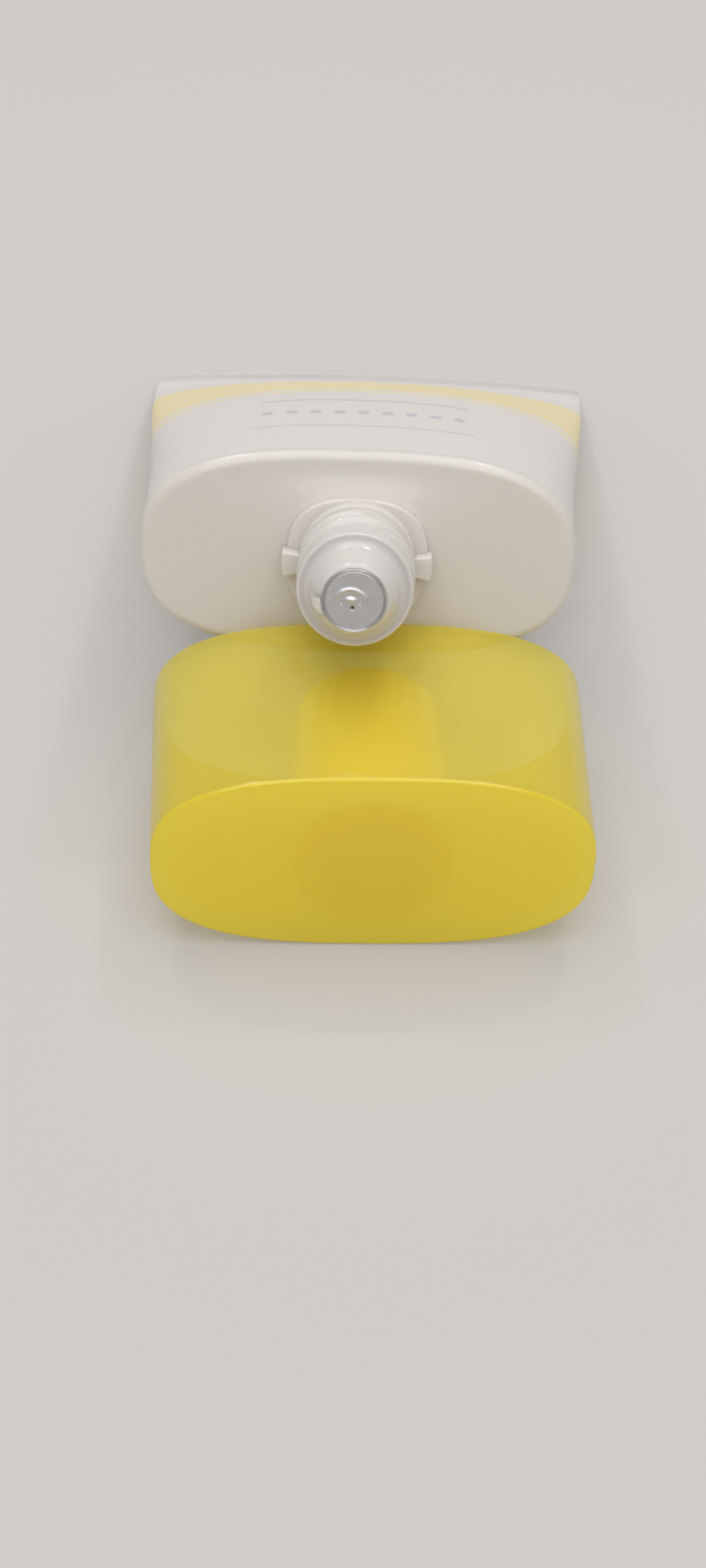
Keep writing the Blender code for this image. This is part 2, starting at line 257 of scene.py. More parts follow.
film = {"base": (0.75, 0.712, 0.685, 1), "shade": (0.71, 0.672, 0.645, 1), "mottle": 0.09,
        "coat": 0.12, "coatRoughness": 0.25, "roughness": 0.34, "wear": 0.12, "wearScale": 0.9,
        "poreScale": 1.6, "poreDepth": 0.00002, "swellScale": 0.05, "swellDepth": 0.0006,
        "ribFrom": 109.4, "ribTo": 115.4, "ribPitch": 1.0, "ribDepth": 0.00022}
bands = {"yellow": (0.86, 0.72, 0.36, 1), "yellowShare": 0.92, "yellowEdge": 4, "wide": (62, 92), "line": (56.5, 59),
         "ink": (0.50, 0.47, 0.50, 1), "inkShare": 0.85, "inkEdge": 5, "ruleHalf": 15.5,
         "rules": ((-44.0, 0.8), (-17.0, 0.45)), "dotRow": -29.5, "dotPitch": 3.4, "dotSquash": 0.55, "dotEdge": 4}


def printedBands(board, across, along, base):
    # two plain yellow bands right round the far half, and near the neck two thin rules with a row of dots
    depth = 0.0 - along

    def stripe(low, high):
        return ((depth - low) * bands["yellowEdge"]).clipped() * ((high - depth) * bands["yellowEdge"]).clipped()

    yellow = (stripe(*bands["wide"]) + stripe(*bands["line"])).clipped() * bands["yellowShare"]
    column = (across / bands["dotPitch"] + 0.5).maths("FRACT") * bands["dotPitch"] - bands["dotPitch"] / 2
    row = (along - bands["dotRow"]) * bands["dotSquash"]
    marks = ((1.0 - (column * column + row * row).maths("SQRT")) * bands["dotEdge"]).clipped()
    for middle, half in bands["rules"]:
        marks = marks + ((half - abs(along - middle)) * bands["inkEdge"]).clipped()
    marks = marks.clipped() * ((bands["ruleHalf"] - abs(across)) * bands["inkEdge"]).clipped()
    return board.blend(marks * bands["inkShare"], board.blend(yellow, base, bands["yellow"]), bands["ink"])


def whiteFilm():
    board = Board("satin tube film", {"Coat Weight": film["coat"], "Coat Roughness": film["coatRoughness"]})
    place = board.spot()
    across, _, along = board.split(place)
    depth = 0.0 - along
    base = board.blend(board.grain(place, film["mottle"], 2) * 0.5, film["base"], film["shade"])
    board.paint("Base Color", printedBands(board, across, along, base))
    board.paint("Roughness", film["roughness"] + board.grain(place, film["wearScale"], 4) * film["wear"])
    ribs = (along * (math.tau / film["ribPitch"])).maths("SINE")
    ribs = ribs * (depth - film["ribFrom"]).clipped() * (film["ribTo"] - depth).clipped()
    pores = board.bump(board.grain(place, film["poreScale"]), film["poreDepth"], 0.6)
    swell = board.bump(board.grain(place, film["swellScale"], 2), film["swellDepth"], 0.5, pores)
    board.paint("Normal", board.bump(ribs, film["ribDepth"], 1.0, swell))
    return board.material


# the sleeve, lofted from the oval head to the flat crimp; shares run from 0 at the head to 1 where the crimp starts

sleeve = {"length": 0.1160, "wall": 0.0006, "crimp": 0.0070, "thickness": 0.0010, "bow": 0.0012, "belly": 0.80,
          "crimpPower": 6.0, "crimpFrom": 0.92, "crimpOver": 0.08, "hollow": 0.86, "hollowEase": 0.8,
          "innerStations": 40, "stations": 80, "around": 192, "lip": 0.00024,
          "lipRounds": ((0.00055, 0.8), (0.00040, 1), (0.00012, 1), (0.00003, 0.8)),
          "crimpRows": (0.08, 0.3, 0.6, 0.9), "endRounds": ((0, 0.0002), (0.00008, 0.00005), (0.0002, 0))}
slack = {"depth": 0.00022, "calmNear": 0.12, "calmFar": 0.97, "calmOver": 0.1, "dents": (38, 25, 30),
         "dentShare": 0.6, "folds": 620, "foldSway": 1.3, "foldWave": 160, "foldFrom": 0.66, "foldOver": 0.3,
         "foldShare": 0.4}
taper = sleeve["length"] - sleeve["crimp"]
halfWidths = {}


def lengthRound(halfWidth, halfDepth, power):
    points = [Vector(ovalPoint(math.tau * step / 128, halfWidth, halfDepth, power)) for step in range(128)]
    return sum((second - first).length for first, second in zip(points, points[1:] + points[:1]))


filmLength = lengthRound(*headOval.values())


def filmHalfWidth(halfDepth, power):
    # the film doesn't stretch, so its length round stays the same while it flattens
    key = (round(halfDepth, 7), round(power, 4))
    if key not in halfWidths:
        low, high = halfDepth, filmLength / 2
        for _ in range(26):  # halved until it is far finer than a micrometre
            middle = (low + high) / 2
            if lengthRound(middle, halfDepth, power) < filmLength:
                low = middle
            else:
                high = middle
        halfWidths[key] = low
    return halfWidths[key]


def slackDepth(share, x, y, height):
    # how far the loose film sinks: broad dents all over, and folds that gather towards the crimp
    calm = smooth(share / slack["calmNear"]) * smooth((slack["calmFar"] - share) / slack["calmOver"])
    acrossScale, upScale, alongScale = slack["dents"]
    dent = 0.5 + 0.5 * noise.noise(Vector((x * acrossScale, y * upScale, height * alongScale + 4)))
    wave = 0.5 + 0.5 * math.sin(x * slack["folds"] + slack["foldSway"] * math.sin(height * slack["foldWave"]))
    fold = wave * smooth((share - slack["foldFrom"]) / slack["foldOver"])
    return slack["depth"] * calm * (slack["dentShare"] * dent + slack["foldShare"] * fold)


def filmSection(share, inset, z=None, loose=False):
    fall = (1 - share) * (1 + sleeve["belly"] * share)
    halfDepth = sleeve["thickness"] / 2 + (headOval["halfDepth"] - sleeve["thickness"] / 2) * fall
    lens = headOval["power"] + (2.0 - headOval["power"]) * share
    halfWidth = filmHalfWidth(halfDepth, lens)
    power = lens + (sleeve["crimpPower"] - lens) * smooth((share - sleeve["crimpFrom"]) / sleeve["crimpOver"])
    height = -share * taper if z is None else z

    def section(turn):
        x, y = ovalPoint(turn, halfWidth - inset, halfDepth - inset, power)
        if loose:
            y *= 1 - slackDepth(share, x, y, height) / halfDepth
        return Vector((x, y + sleeve["bow"] * share * (1 - (x / halfWidth) ** 2), height))
    return section


def makeSleeve():
    hollow, wall, inside = sleeve["hollow"], sleeve["wall"], sleeve["innerStations"]
    inner = [filmSection(hollow * (1 - step / inside) ** sleeve["hollowEase"], wall) for step in range(inside + 1)]
    tip = between(roundRing(0.0002, 0), inner[0], 0.5, -hollow * taper)
    rim = [filmSection(0, inset, sleeve["lip"] * rise) for inset, rise in sleeve["lipRounds"]]
    count = sleeve["stations"]
    outer = [filmSection(step / count, 0, loose=True) for step in range(count + 1)]
    crimp = [filmSection(1, 0, -taper - sleeve["crimp"] * share) for share in sleeve["crimpRows"]]
    crimp += [filmSection(1, inset, drop - sleeve["length"]) for inset, drop in sleeve["endRounds"]]
    work = pulledBody([tip] + inner + rim + outer + crimp, sleeve["around"])
    finishPiece(work, "tubeSleeve", tubePlace, "tube", "tube_sleeve", whiteFilm(), 50)


makeSleeve()
print("stage 2: sleeve lofted from the oval head to the flat crimp")


# the lotion: a stub up the neck's bore, a flare under the shoulder, and a body that ends in a rounded front

fill = {"inset": 0.0009, "throat": 0.0022, "bore": 0.0056, "top": 0.0107, "roof": 0.0004, "flare": 0.0014,
        "corner": 0.0008, "share": 0.78, "skirt": 0.0043, "stations": 50, "front": 0.03, "frontRound": 0.0028,
        "around": 96, "cream": (0.90, 0.885, 0.84, 1), "creamShade": (0.86, 0.84, 0.78, 1), "swirl": 70,
        "swirlDepth": 0.0008, "roughness": 0.32, "glow": 0.35, "glowScale": 0.002, "coat": 0.4, "coatRoughness": 0.12}


def creamLotion():
    board = Board("thick white lotion", {"Subsurface Weight": fill["glow"], "Subsurface Scale": fill["glowScale"],
                                         "Coat Weight": fill["coat"], "Coat Roughness": fill["coatRoughness"]})
    swirl = board.grain(board.objectPlace(), fill["swirl"])
    board.paint("Base Color", board.blend(swirl, fill["cream"], fill["creamShade"]))
    board.paint("Roughness", fill["roughness"] + swirl * 0.15)
    board.paint("Normal", board.bump(swirl, fill["swirlDepth"], 0.5))
    return board.material


def makeLotion():
    bore, top, roof, corner, front = (fill[key] for key in ("bore", "top", "roof", "corner", "front"))
    start, stop, last = fill["skirt"] / taper, fill["share"] - front, fill["stations"] - 1
    oval = filmSection(0, fill["throat"])
    rings = [roundRing(bore * 0.5, top), roundRing(bore - corner, top), roundRing(bore, top - corner),
             roundRing(bore, roof + fill["flare"]), roundRing(bore, roof + corner)]
    for step in range(1, 7):
        share = step / 6
        rings.append(between(roundRing(bore, 0), oval, share, roof + corner * (1 - share) ** 2))
    rings.append(filmSection(start, fill["throat"]))
    rings += [filmSection(start + (stop - start) * step / last, fill["inset"]) for step in range(last + 1)]
    for drawn, gone in quarterRound(8, 1):
        rings.append(filmSection(stop + front * gone, fill["inset"] + fill["frontRound"] * drawn))
    work = pulledBody(rings, fill["around"])
    finishPiece(work, "lotionFill", tubePlace, "tube", "lotion_fill", creamLotion())


makeLotion()
print("stage 3: lotion")


# the white plastic of the head and the nozzle

# the shoulder's warmer white is painted yellow light bounced up from the cap; the smooth white is the plastic's own
# colour
moulding = {"coat": 0.5, "coatRoughness": 0.04, "glow": 0.25, "glowScale": 0.004, "glowRadius": (1.0, 0.9, 0.75),
            "cloud": 90, "gloss": 700, "glossSwing": 0.05, "pores": 1800, "poreDepth": 0.000006,
            "shoulder": (0.70, 0.66, 0.605, 1), "shoulderShade": (0.675, 0.635, 0.575, 1), "shoulderRoughness": 0.28,
            "smooth": (0.68, 0.648, 0.612, 1), "smoothShade": (0.655, 0.62, 0.58, 1), "smoothRoughness": 0.24,
            "paintedWarmthFadeFrom": 3.0, "paintedWarmthFadeOver": 4.0}


def mouldedWhite(name, base, shade, roughness, neck=None):
    board = Board(name, {"Coat Weight": moulding["coat"], "Coat Roughness": moulding["coatRoughness"],
                         "Subsurface Weight": moulding["glow"], "Subsurface Scale": moulding["glowScale"],
                         "Subsurface Radius": moulding["glowRadius"]})
    place = board.objectPlace()
    colour = board.blend(board.grain(place, moulding["cloud"]) * 0.5, base, shade)
    if neck:  # painted light: the shoulder below the neck is a warmer white, standing in for yellow light bounced up from the cap
        along = board.split(board.spot())[2]
        colour = board.blend(((along - moulding["paintedWarmthFadeFrom"]) / moulding["paintedWarmthFadeOver"]).smoothed(), colour, neck)
    board.paint("Base Color", colour)
    board.paint("Roughness", roughness + board.grain(place, moulding["gloss"]) * moulding["glossSwing"])
    board.paint("Normal", board.bump(board.grain(place, moulding["pores"]), moulding["poreDepth"], 0.5))
    return board.material


# the head: shoulder, low oval plate, threaded neck and the two lugs

head = {"skirt": 0.0040, "skirtWall": 0.0010, "plugInset": 0.0009, "ledge": 0.0003, "chamfer": 0.0001, "side": 0.0005,
        "fillet": 0.0014, "rise": 0.0008, "wall": 0.0012, "foot": 0.00765, "footTop": 0.0060, "neck": 0.0070,
        "band": 0.0074, "bandLow": 0.0157, "top": 0.0195, "bore": 0.0059, "boreLow": 0.0015, "recess": 0.00643,
        "recessDepth": 0.0014, "around": 160, "threadSteps": 76}
plate = {"halfWidth": 0.00925, "upperDepth": 0.00785, "lowerDepth": 0.0087, "power": 2.6, "top": 0.0041,
         "edge": 0.0003, "spread": 0.0003, "footRounds": ((0.0001, 0.00008), (0.00001, 0.0003))}
neckThread = {"nearEnd": 0.0149, "from": math.radians(75), "pitch": 0.0033, "turns": 2.0, "height": 0.0006,
              "base": 0.0019, "crest": 0.0006, "fade": 0.07}
lug = {"inner": 0.00690, "outer": 0.00985, "low": 0.0021, "top": 0.0065, "height": 0.0034, "bevel": 0.00022,
       "lean": math.radians(3.0)}


def threadShare(turn, z, thread):
    # 1 on the crest, 0 on the core; it runs clockwise and away from the near end, as a right-hand thread does
    share = 0.0
    for lap in range(math.ceil(thread["turns"]) + 1):
        gone = ((thread["from"] - turn) / math.tau) % 1 + lap
        if gone < thread["turns"]:
            ends = smooth(min(gone, thread["turns"] - gone) / thread["fade"])
            off = abs(z - (thread["nearEnd"] - thread["pitch"] * gone))
            side = smooth((thread["base"] / 2 - off) / ((thread["base"] - thread["crest"]) / 2))
            share = max(share, ends * side)
    return share


def threadedRing(radius, z, thread, outward=1):
    def section(turn):
        reach = radius + outward * thread["height"] * threadShare(turn, z, thread)
        return Vector((reach * math.cos(turn), reach * math.sin(turn), z))
    return section


def threadedRun(radius, low, high, steps, thread, outward=1):
    return [threadedRing(radius, low + (high - low) * step / steps, thread, outward) for step in range(steps + 1)]


def plateRing(grow, z):
    # the plate's oval, let out by a length or, where that is negative, drawn in by at most half its width
    def section(turn):
        depth = plate["upperDepth"] if turn > 0 else plate["lowerDepth"]
        spot = Vector(ovalPoint(turn, plate["halfWidth"], depth, plate["power"]))
        moved = grow if grow > 0 else max(grow, (head["foot"] - spot.length) * 0.45)
        spot *= 1 + moved / spot.length
        return Vector((spot.x, spot.y, z))
    return section


def addLug(work, middle):
    # a bar of rectangular section spun through a short arc, its edges rounded
    inner, outer, low, top = (lug[key] for key in ("inner", "outer", "low", "top"))
    span = lug["height"] / outer
    begin = Matrix.Rotation(middle - span / 2, 3, "Z")
    kept = set(work.verts)
    places = ((inner, low), (outer, low), (outer, top), (inner, top))
    corners = [work.verts.new(begin @ Vector((radius, 0, z))) for radius, z in places]
    face = work.faces.new(corners)
    bmesh.ops.spin(work, geom=[face, *face.edges, *corners], cent=(0, 0, 0), axis=(0, 0, 1), angle=span, steps=8)
    faces = {near for vert in work.verts if vert not in kept for near in vert.link_faces}
    bmesh.ops.recalc_face_normals(work, faces=list(faces))
    hard = [edge for edge in {edge for near in faces for edge in near.edges} if edge.calc_face_angle(0) > 0.7]
    bmesh.ops.bevel(work, geom=hard, offset=lug["bevel"], segments=3, affect="EDGES", profile=0.5, material=-1)


def shoulderRings():
    half, deep, power = headOval.values()
    side, fillet, ledge, chamfer = head["side"], head["fillet"], head["ledge"], head["chamfer"]
    rings = [filmSection(head["skirt"] / taper, head["plugInset"]), filmSection(0, head["plugInset"], ledge),
             ovalRing(half - chamfer, deep - chamfer, ledge, power), ovalRing(half, deep, ledge + chamfer, power)]
    for drawn, climbed in quarterRound(9):
        inset = fillet * drawn
        rings.append(ovalRing(half - inset, deep - inset, side + fillet * climbed, power))
    edge = ovalRing(half - fillet, deep - fillet, 0, power)
    for step in range(1, 15):
        share = step / 14
        z = side + fillet + head["rise"] * share ** 2
        rings.append(between(edge, plateRing(plate["spread"], 0), share, z))
    return rings


def plateRings():
    shoulderTop = head["side"] + head["fillet"] + head["rise"]
    rings = [plateRing(grow, shoulderTop + climb) for grow, climb in plate["footRounds"]]
    for drawn, climbed in quarterRound(5):
        rings.append(plateRing(-plate["edge"] * drawn, plate["top"] - plate["edge"] * (1 - climbed)))
    return rings


def neckRings():
    foot, footTop, neck, bore, recess = (head[key] for key in ("foot", "footTop", "neck", "bore", "recess"))
    low, high, shelf = footTop + 0.0006, head["bandLow"] - 0.0004, head["top"] - head["recessDepth"]
    below = [(foot + 0.0001, plate["top"], 0), (foot, plate["top"], 0.00006), (foot, footTop, 0.0003),
             (neck, footTop, 0.0002), (neck, footTop + 0.0004, 0)]
    above = [(neck, high, 0), (head["band"], head["bandLow"], 0.00015), (head["band"], head["top"], 0.0004),
             (recess, head["top"], 0.00002), (recess, shelf, 0), (bore, shelf, 0), (bore, head["boreLow"], 0)]
    thread = threadedRun(neck, low, high, head["threadSteps"], neckThread)
    return turnedProfile(below)[1:] + thread + turnedProfile(above)[1:]


def undersideRings():
    inset = head["plugInset"] + head["skirtWall"]
    under = filmSection(0, inset)
    roof = head["side"] + head["fillet"] - head["wall"]
    rings = []
    for step in range(1, 9):
        share = step / 8
        rings.append(between(roundRing(head["bore"], 0), under, share, roof + head["rise"] * (1 - share) ** 2))
    return rings + [filmSection(head["skirt"] / taper, inset)]


def makeHead():
    rings = shoulderRings() + plateRings() + neckRings() + undersideRings()
    work = pulledBody(rings, head["around"], joined=True)
    for middle in (-lug["lean"], math.pi + lug["lean"]):
        addLug(work, middle)
    plastic = mouldedWhite("satin moulded plastic", moulding["shoulder"], moulding["shoulderShade"],
                           moulding["shoulderRoughness"], moulding["smooth"])
    finishPiece(work, "tubeHead", tubePlace, "tube", "tube_head", plastic)


makeHead()
print("stage 4: head with plate, thread and lugs")


# the nozzle insert, turned round its bore

nozzle = {"plug": 0.0056, "low": 0.0110, "flange": 0.00642, "proud": 0.00004, "under": 0.0184, "top": 0.0195,
          "cone": 0.0060, "land": 0.0044, "landTop": 0.0241, "orifice": 0.0016, "wall": 0.0011, "around": 128}


def makeNozzle():
    plug, flange, under, top, land, landTop, orifice, wall = (nozzle[key] for key in (
        "plug", "flange", "under", "top", "land", "landTop", "orifice", "wall"))
    rim = top + nozzle["proud"]
    corners = [(plug, nozzle["low"] + 0.002, 0), (plug, under, 0.0001), (flange, under, 0.0001),
               (flange, rim, 0.00003), (nozzle["cone"], rim, 0.0010), (land, landTop, 0.0006),
               (orifice, landTop, 0.0002), (orifice, landTop - wall, 0.0001), (land - wall, landTop - wall, 0.0004),
               (plug - wall, top - wall, 0.0003), (plug - wall, nozzle["low"], 0.0002),
               (plug - 0.0002, nozzle["low"], 0)]
    plastic = mouldedWhite("smooth moulded plastic", moulding["smooth"], moulding["smoothShade"],
                           moulding["smoothRoughness"])
    work = pulledBody(turnedProfile(corners), nozzle["around"], joined=True)
    finishPiece(work, "nozzleInsert", tubePlace, "tube", "nozzle_insert", plastic)


makeNozzle()
print("stage 5: nozzle")


# the foil seal: a disc with a rolled lip, an embossed arch over a small cup, and a folded pull tab

foil = {"radius": 0.0041, "base": 0.0244, "sheet": 0.00012, "lip": 0.00017, "lipRise": 0.00036, "lipRoll": 0.00012,
        "skirt": 0.00022, "rings": 64, "around": 160, "groove": 0.00007, "grooveIn": 0.00008, "grooveWidth": 0.00007,
        "archX": -0.00045, "archY": -0.00065, "archRadius": 0.00205, "archWidth": 0.00022, "archRise": 0.00014,
        "innerRadius": 0.0012, "innerWidth": 0.00014, "innerDepth": 0.00010, "cupX": 0.0001, "cupY": 0.00072,
        "cupWidth": 0.0007, "cupHeight": 0.00026, "cupRise": 0.00016, "pinX": -0.00018, "pinY": -0.00092,
        "pinWidth": 0.00018, "pinDepth": 0.00024, "creaseDepth": 0.00002, "creases": 900, "fineCreases": 2300}
tab = {"turn": math.radians(192), "half": math.radians(17), "reach": 0.0014, "narrowing": 0.12, "skew": 0.22,
       "curl": 0.00010, "ripple": 0.00004, "drop": 0.0010, "thickness": 0.00009}
# the near-black colour, the groove and under rings, the pit radius and the tab's edge colour are for painted shade
foilPaint = {"silver": (0.56, 0.555, 0.55, 1), "silverPale": (0.66, 0.65, 0.64, 1), "paintedShade": (0.05, 0.05, 0.05, 1),
             "back": (0.80, 0.77, 0.73, 1), "tabEdgeShade": (0.36, 0.33, 0.28, 1), "pitShadeRadius": 0.30, "groove": 3.73,
             "under": 4.09, "tabFrom": 4.16, "tabTurn": 0.21, "tabHalf": 0.297, "tabStart": 4.0, "tabReach": 1.4,
             "tabSkew": 0.31, "tabEdgeShadeSide": 0.72, "tabEdgeShadeEnd": 0.86, "tabEdgeShadeShare": 0.6, "speckle": 5200, "cloud": 700,
             "roughness": 0.27}


def silverFoil():
    # silver on the disc, with painted shade in the pressed groove, under the rolled lip and in the pin-hole pit;
    # white film on the back of the folded tab, with painted shade along its edges
    look = foilPaint
    board = Board("embossed silver foil", {})
    place = board.objectPlace()
    across, up, _ = board.split(board.spot())
    reach = (across * across + up * up).maths("SQRT")
    side, rise = across - foil["pinX"] * 1000, up - foil["pinY"] * 1000
    # masks for painted shade: the pin-hole pit, the pressed groove and the gap under the rolled lip
    pit = ((look["pitShadeRadius"] - (side * side + rise * rise).maths("SQRT")) * 8).clipped()
    groove = (1.0 - abs(reach - look["groove"]) * 10).clipped()
    under = (1.0 - abs(reach - look["under"]) * 12).clipped()
    onTab = ((reach - look["tabFrom"]) * 12).clipped()
    swing = ((0.0 - up).maths("ARCTAN2", 0.0 - across) - look["tabTurn"]) / look["tabHalf"]
    run = (reach - look["tabStart"]) / (look["tabReach"] - swing * look["tabSkew"])
    # painted shade along the tab's sides and far end, darkening its white back
    tabEdgeShade = ((abs(swing) - look["tabEdgeShadeSide"]) * 8).clipped().maths("MAXIMUM", ((run - look["tabEdgeShadeEnd"]) * 14).clipped())
    speckle = board.grain(place, look["speckle"], 4)
    cloud = board.grain(place, look["cloud"])
    silver = board.blend(cloud, look["silver"], look["silverPale"])
    # painted shade: the silver goes near black in the pit, the groove and under the lip
    silver = board.blend((pit * 0.9 + groove * 0.5 + under * 0.6).clipped(), silver, look["paintedShade"])
    back = board.blend(tabEdgeShade * look["tabEdgeShadeShare"], look["back"], look["tabEdgeShade"])
    board.paint("Base Color", board.blend(onTab, silver, back))
    board.paint("Metallic", 1.0 - onTab)
    board.paint("Roughness", look["roughness"] + speckle * 0.22 + onTab * 0.1)
    board.paint("Normal", board.bump(speckle, 0.00003, 0.5, board.bump(cloud, 0.00008, 0.3)))
    return board.material


def hump(distance, width):
    return math.exp(-(distance / width) ** 2)


def foilRelief(x, y):
    dx, dy = x - foil["archX"], y - foil["archY"]
    reach = math.hypot(dx, dy)
    upper = smooth((dy / max(reach, 1e-6) + 0.1) / 0.5)
    arch = hump(reach - foil["archRadius"], foil["archWidth"]) * upper * foil["archRise"]
    inner = hump(reach - foil["innerRadius"], foil["innerWidth"]) * upper * foil["innerDepth"]
    cup = hump(dx - foil["cupX"], foil["cupWidth"]) * hump(dy - foil["cupY"], foil["cupHeight"]) * foil["cupRise"]
    pit = hump(math.hypot(x - foil["pinX"], y - foil["pinY"]), foil["pinWidth"]) * foil["pinDepth"]
    broad, fine = foil["creases"], foil["fineCreases"]
    creases = noise.noise(Vector((x * broad, y * broad, 3))) + 0.5 * noise.noise(Vector((x * fine, y * fine, 9)))
    return arch - inner + cup - pit + foil["creaseDepth"] * creases


def foilRing(radius, z, relief=0.0):
    def section(turn):
        x, y = radius * math.cos(turn), radius * math.sin(turn)
        return Vector((x, y, z + (foilRelief(x, y) * relief if relief else 0)))
    return section


def addTab(work):
    # a flap that leaves the lip and folds down beside the cone
    made = bmesh.ops.create_grid(work, x_segments=14, y_segments=12, size=0.5)["verts"]
    faces = list({face for vert in made for face in vert.link_faces})
    for vert in made:
        run, side = vert.co.x + 0.5, vert.co.y * 2
        turn = tab["turn"] + tab["half"] * side * (1 - tab["narrowing"] * run)
        curl = tab["curl"] * run * math.sin(side * 2.2 + 0.6) + tab["ripple"] * math.sin(side * 7)
        reach = foil["radius"] - 0.0001 + tab["reach"] * run * (1 - tab["skew"] * side) + curl
        drop = tab["drop"] * run + tab["drop"] * run ** 2
        vert.co = (reach * math.cos(turn), reach * math.sin(turn), foil["base"] + foil["lipRise"] + 0.00003 - drop)
    bmesh.ops.solidify(work, geom=faces, thickness=tab["thickness"])


def makeFoil():
    radius, base, sheet, lip, rise, skirt, roll = (foil[key] for key in (
        "radius", "base", "sheet", "lip", "lipRise", "skirt", "lipRoll"))
    rings = [foilRing(0.00012, base), foilRing(radius - 0.0003, base), foilRing(radius - 0.00025, base - skirt)]
    for step in range(9):
        z = base - skirt + (skirt + rise) * step / 8
        rings.append(foilRing(radius - roll + roll * math.sin(math.pi * step / 8), z))
    for step in range(1, 9):
        share = step / 8
        z = base + rise - (rise - sheet) * smooth((share - 0.35) / 0.6)
        rings.append(foilRing(radius - roll - lip * share, z))
    inner = radius - roll - lip
    for step in range(1, foil["rings"]):
        share = step / foil["rings"]
        dip = foil["groove"] * hump(inner * share - foil["grooveIn"], foil["grooveWidth"])
        rings.append(foilRing(inner * (1 - share), base + sheet - dip, smooth(share * 8)))
    work = pulledBody(rings, foil["around"])
    addTab(work)
    finishPiece(work, "foilSeal", tubePlace, "seal", "foil_seal", silverFoil(), 60)


makeFoil()
print("stage 6: foil seal")


# the cap's milky clear plastic, alike for its shell and its socket; the numbers of its zones are in mm from the rim

# 'foot' is the face's more orange middle: the socket's foot seen through it, painted into the colour
shellLook = {"base": (0.98, 0.86, 0.15, 1), "deep": (0.97, 0.83, 0.12, 1), "end": (1, 0.81, 0.045, 1),
             "foot": (1, 0.765, 0.03, 1), "behind": (1, 0.90, 0.20, 1), "tint": (0.99, 0.955, 0.59, 1),
             "through": 0.27, "clear": 0.67, "endClear": 0.12, "edgeMilk": 0.7, "roughness": 0.13}
socketLook = {"base": (1, 0.86, 0.07, 1), "deep": (0.99, 0.83, 0.06, 1), "end": (0.99, 0.80, 0.06, 1),
              "foot": (0.99, 0.78, 0.05, 1), "behind": (1, 0.88, 0.12, 1), "tint": (1, 0.95, 0.60, 1),
              "through": 0.12, "clear": 0.14, "endClear": 0.14, "edgeMilk": 0.5, "roughness": 0.21}
milk = {"ior": 1.46, "coat": 0.9, "coatRoughness": 0.03, "cloud": 55, "gloss": 420, "glossSwing": 0.08,
        "ripple": 1500, "rippleDepth": 0.00001, "faceFrom": 32.9, "faceOver": 0.4,
        "innerFrom": 30.9, "innerOver": 0.8, "innerHalfWidth": 26.9, "innerHalfDepth": 12.35, "innerShare": 0.98,
        "innerEdge": 30, "showThroughReach": 10.5, "showThroughOver": 1.4, "showThroughShare": 0.8}


def clearYellow(name, look):
    # part of the light scatters back, part scatters on through the wall and part goes straight through, tinted;
    # the closed end is thicker, so less goes straight through it
    board = Board(name, {"IOR": milk["ior"], "Coat Weight": milk["coat"], "Coat Roughness": milk["coatRoughness"]})
    place = board.objectPlace()
    cloud = board.grain(place, milk["cloud"])
    across, up, along = board.split(board.spot())
    wide = (abs(across) / milk["innerHalfWidth"]).maths("POWER", headOval["power"])
    deep = (abs(up) / milk["innerHalfDepth"]).maths("POWER", headOval["power"])
    onInner = ((milk["innerShare"] - (wide + deep)) * milk["innerEdge"]).clipped()  # not on the walls round it
    onFace = ((along - milk["faceFrom"]) / milk["faceOver"]).smoothed()
    end = onFace.maths("MAXIMUM", ((along - milk["innerFrom"]) / milk["innerOver"]).smoothed() * onInner)
    nearAxis = (milk["showThroughReach"] - (across * across + up * up).maths("SQRT")) / milk["showThroughOver"]
    foot = nearAxis.smoothed() * milk["showThroughShare"]  # painted: the socket's foot, seen through the face, painted into its colour as a more orange middle
    ending = board.blend(foot, look["end"], look["foot"])
    board.paint("Base Color", board.blend(end, board.blend(cloud, look["base"], look["deep"]), ending))
    board.paint("Roughness", look["roughness"] + board.grain(place, milk["gloss"]) * milk["glossSwing"])
    board.paint("Normal", board.bump(board.grain(place, milk["ripple"], 2), milk["rippleDepth"], 0.4))
    behind = board.add("BsdfTranslucent", None, {"Color": look["behind"]})
    clear = board.add("BsdfTransparent", None, {"Color": look["tint"]})
    milky = board.add("MixShader", None, {0: look["through"], 1: board.plain(), 2: behind})
    edge = board.add("LayerWeight", None, {"Blend": 0.5}, "Facing")  # seen edge on, light crosses more milky wall
    share = (look["clear"] + end * (look["endClear"] - look["clear"])) * (1.0 - edge * edge * look["edgeMilk"])
    board.show(board.add("MixShader", None, {0: share, 1: milky, 2: clear}))
    return board.material


# the cap's shell: an oval cup that tapers to its closed face

cap = {"length": 0.03339, "faceHalfWidth": 0.0280, "faceHalfDepth": 0.01345, "wall": 0.0013, "face": 0.0016,
       "fillet": 0.0005, "innerFillet": 0.0008, "rimFillet": 0.0002, "sideLow": 0.0004, "sideSteps": 16,
       "around": 192}


def capRing(z, inset):
    share = z / cap["length"]
    half = headOval["halfWidth"] + (cap["faceHalfWidth"] - headOval["halfWidth"]) * share
    deep = headOval["halfDepth"] + (cap["faceHalfDepth"] - headOval["halfDepth"]) * share
    return ovalRing(half - inset, deep - inset, z, headOval["power"])


def shrunk(section, share):
    def smaller(turn):
        spot = section(turn)
        return Vector((spot.x * share, spot.y * share, spot.z))
    return smaller


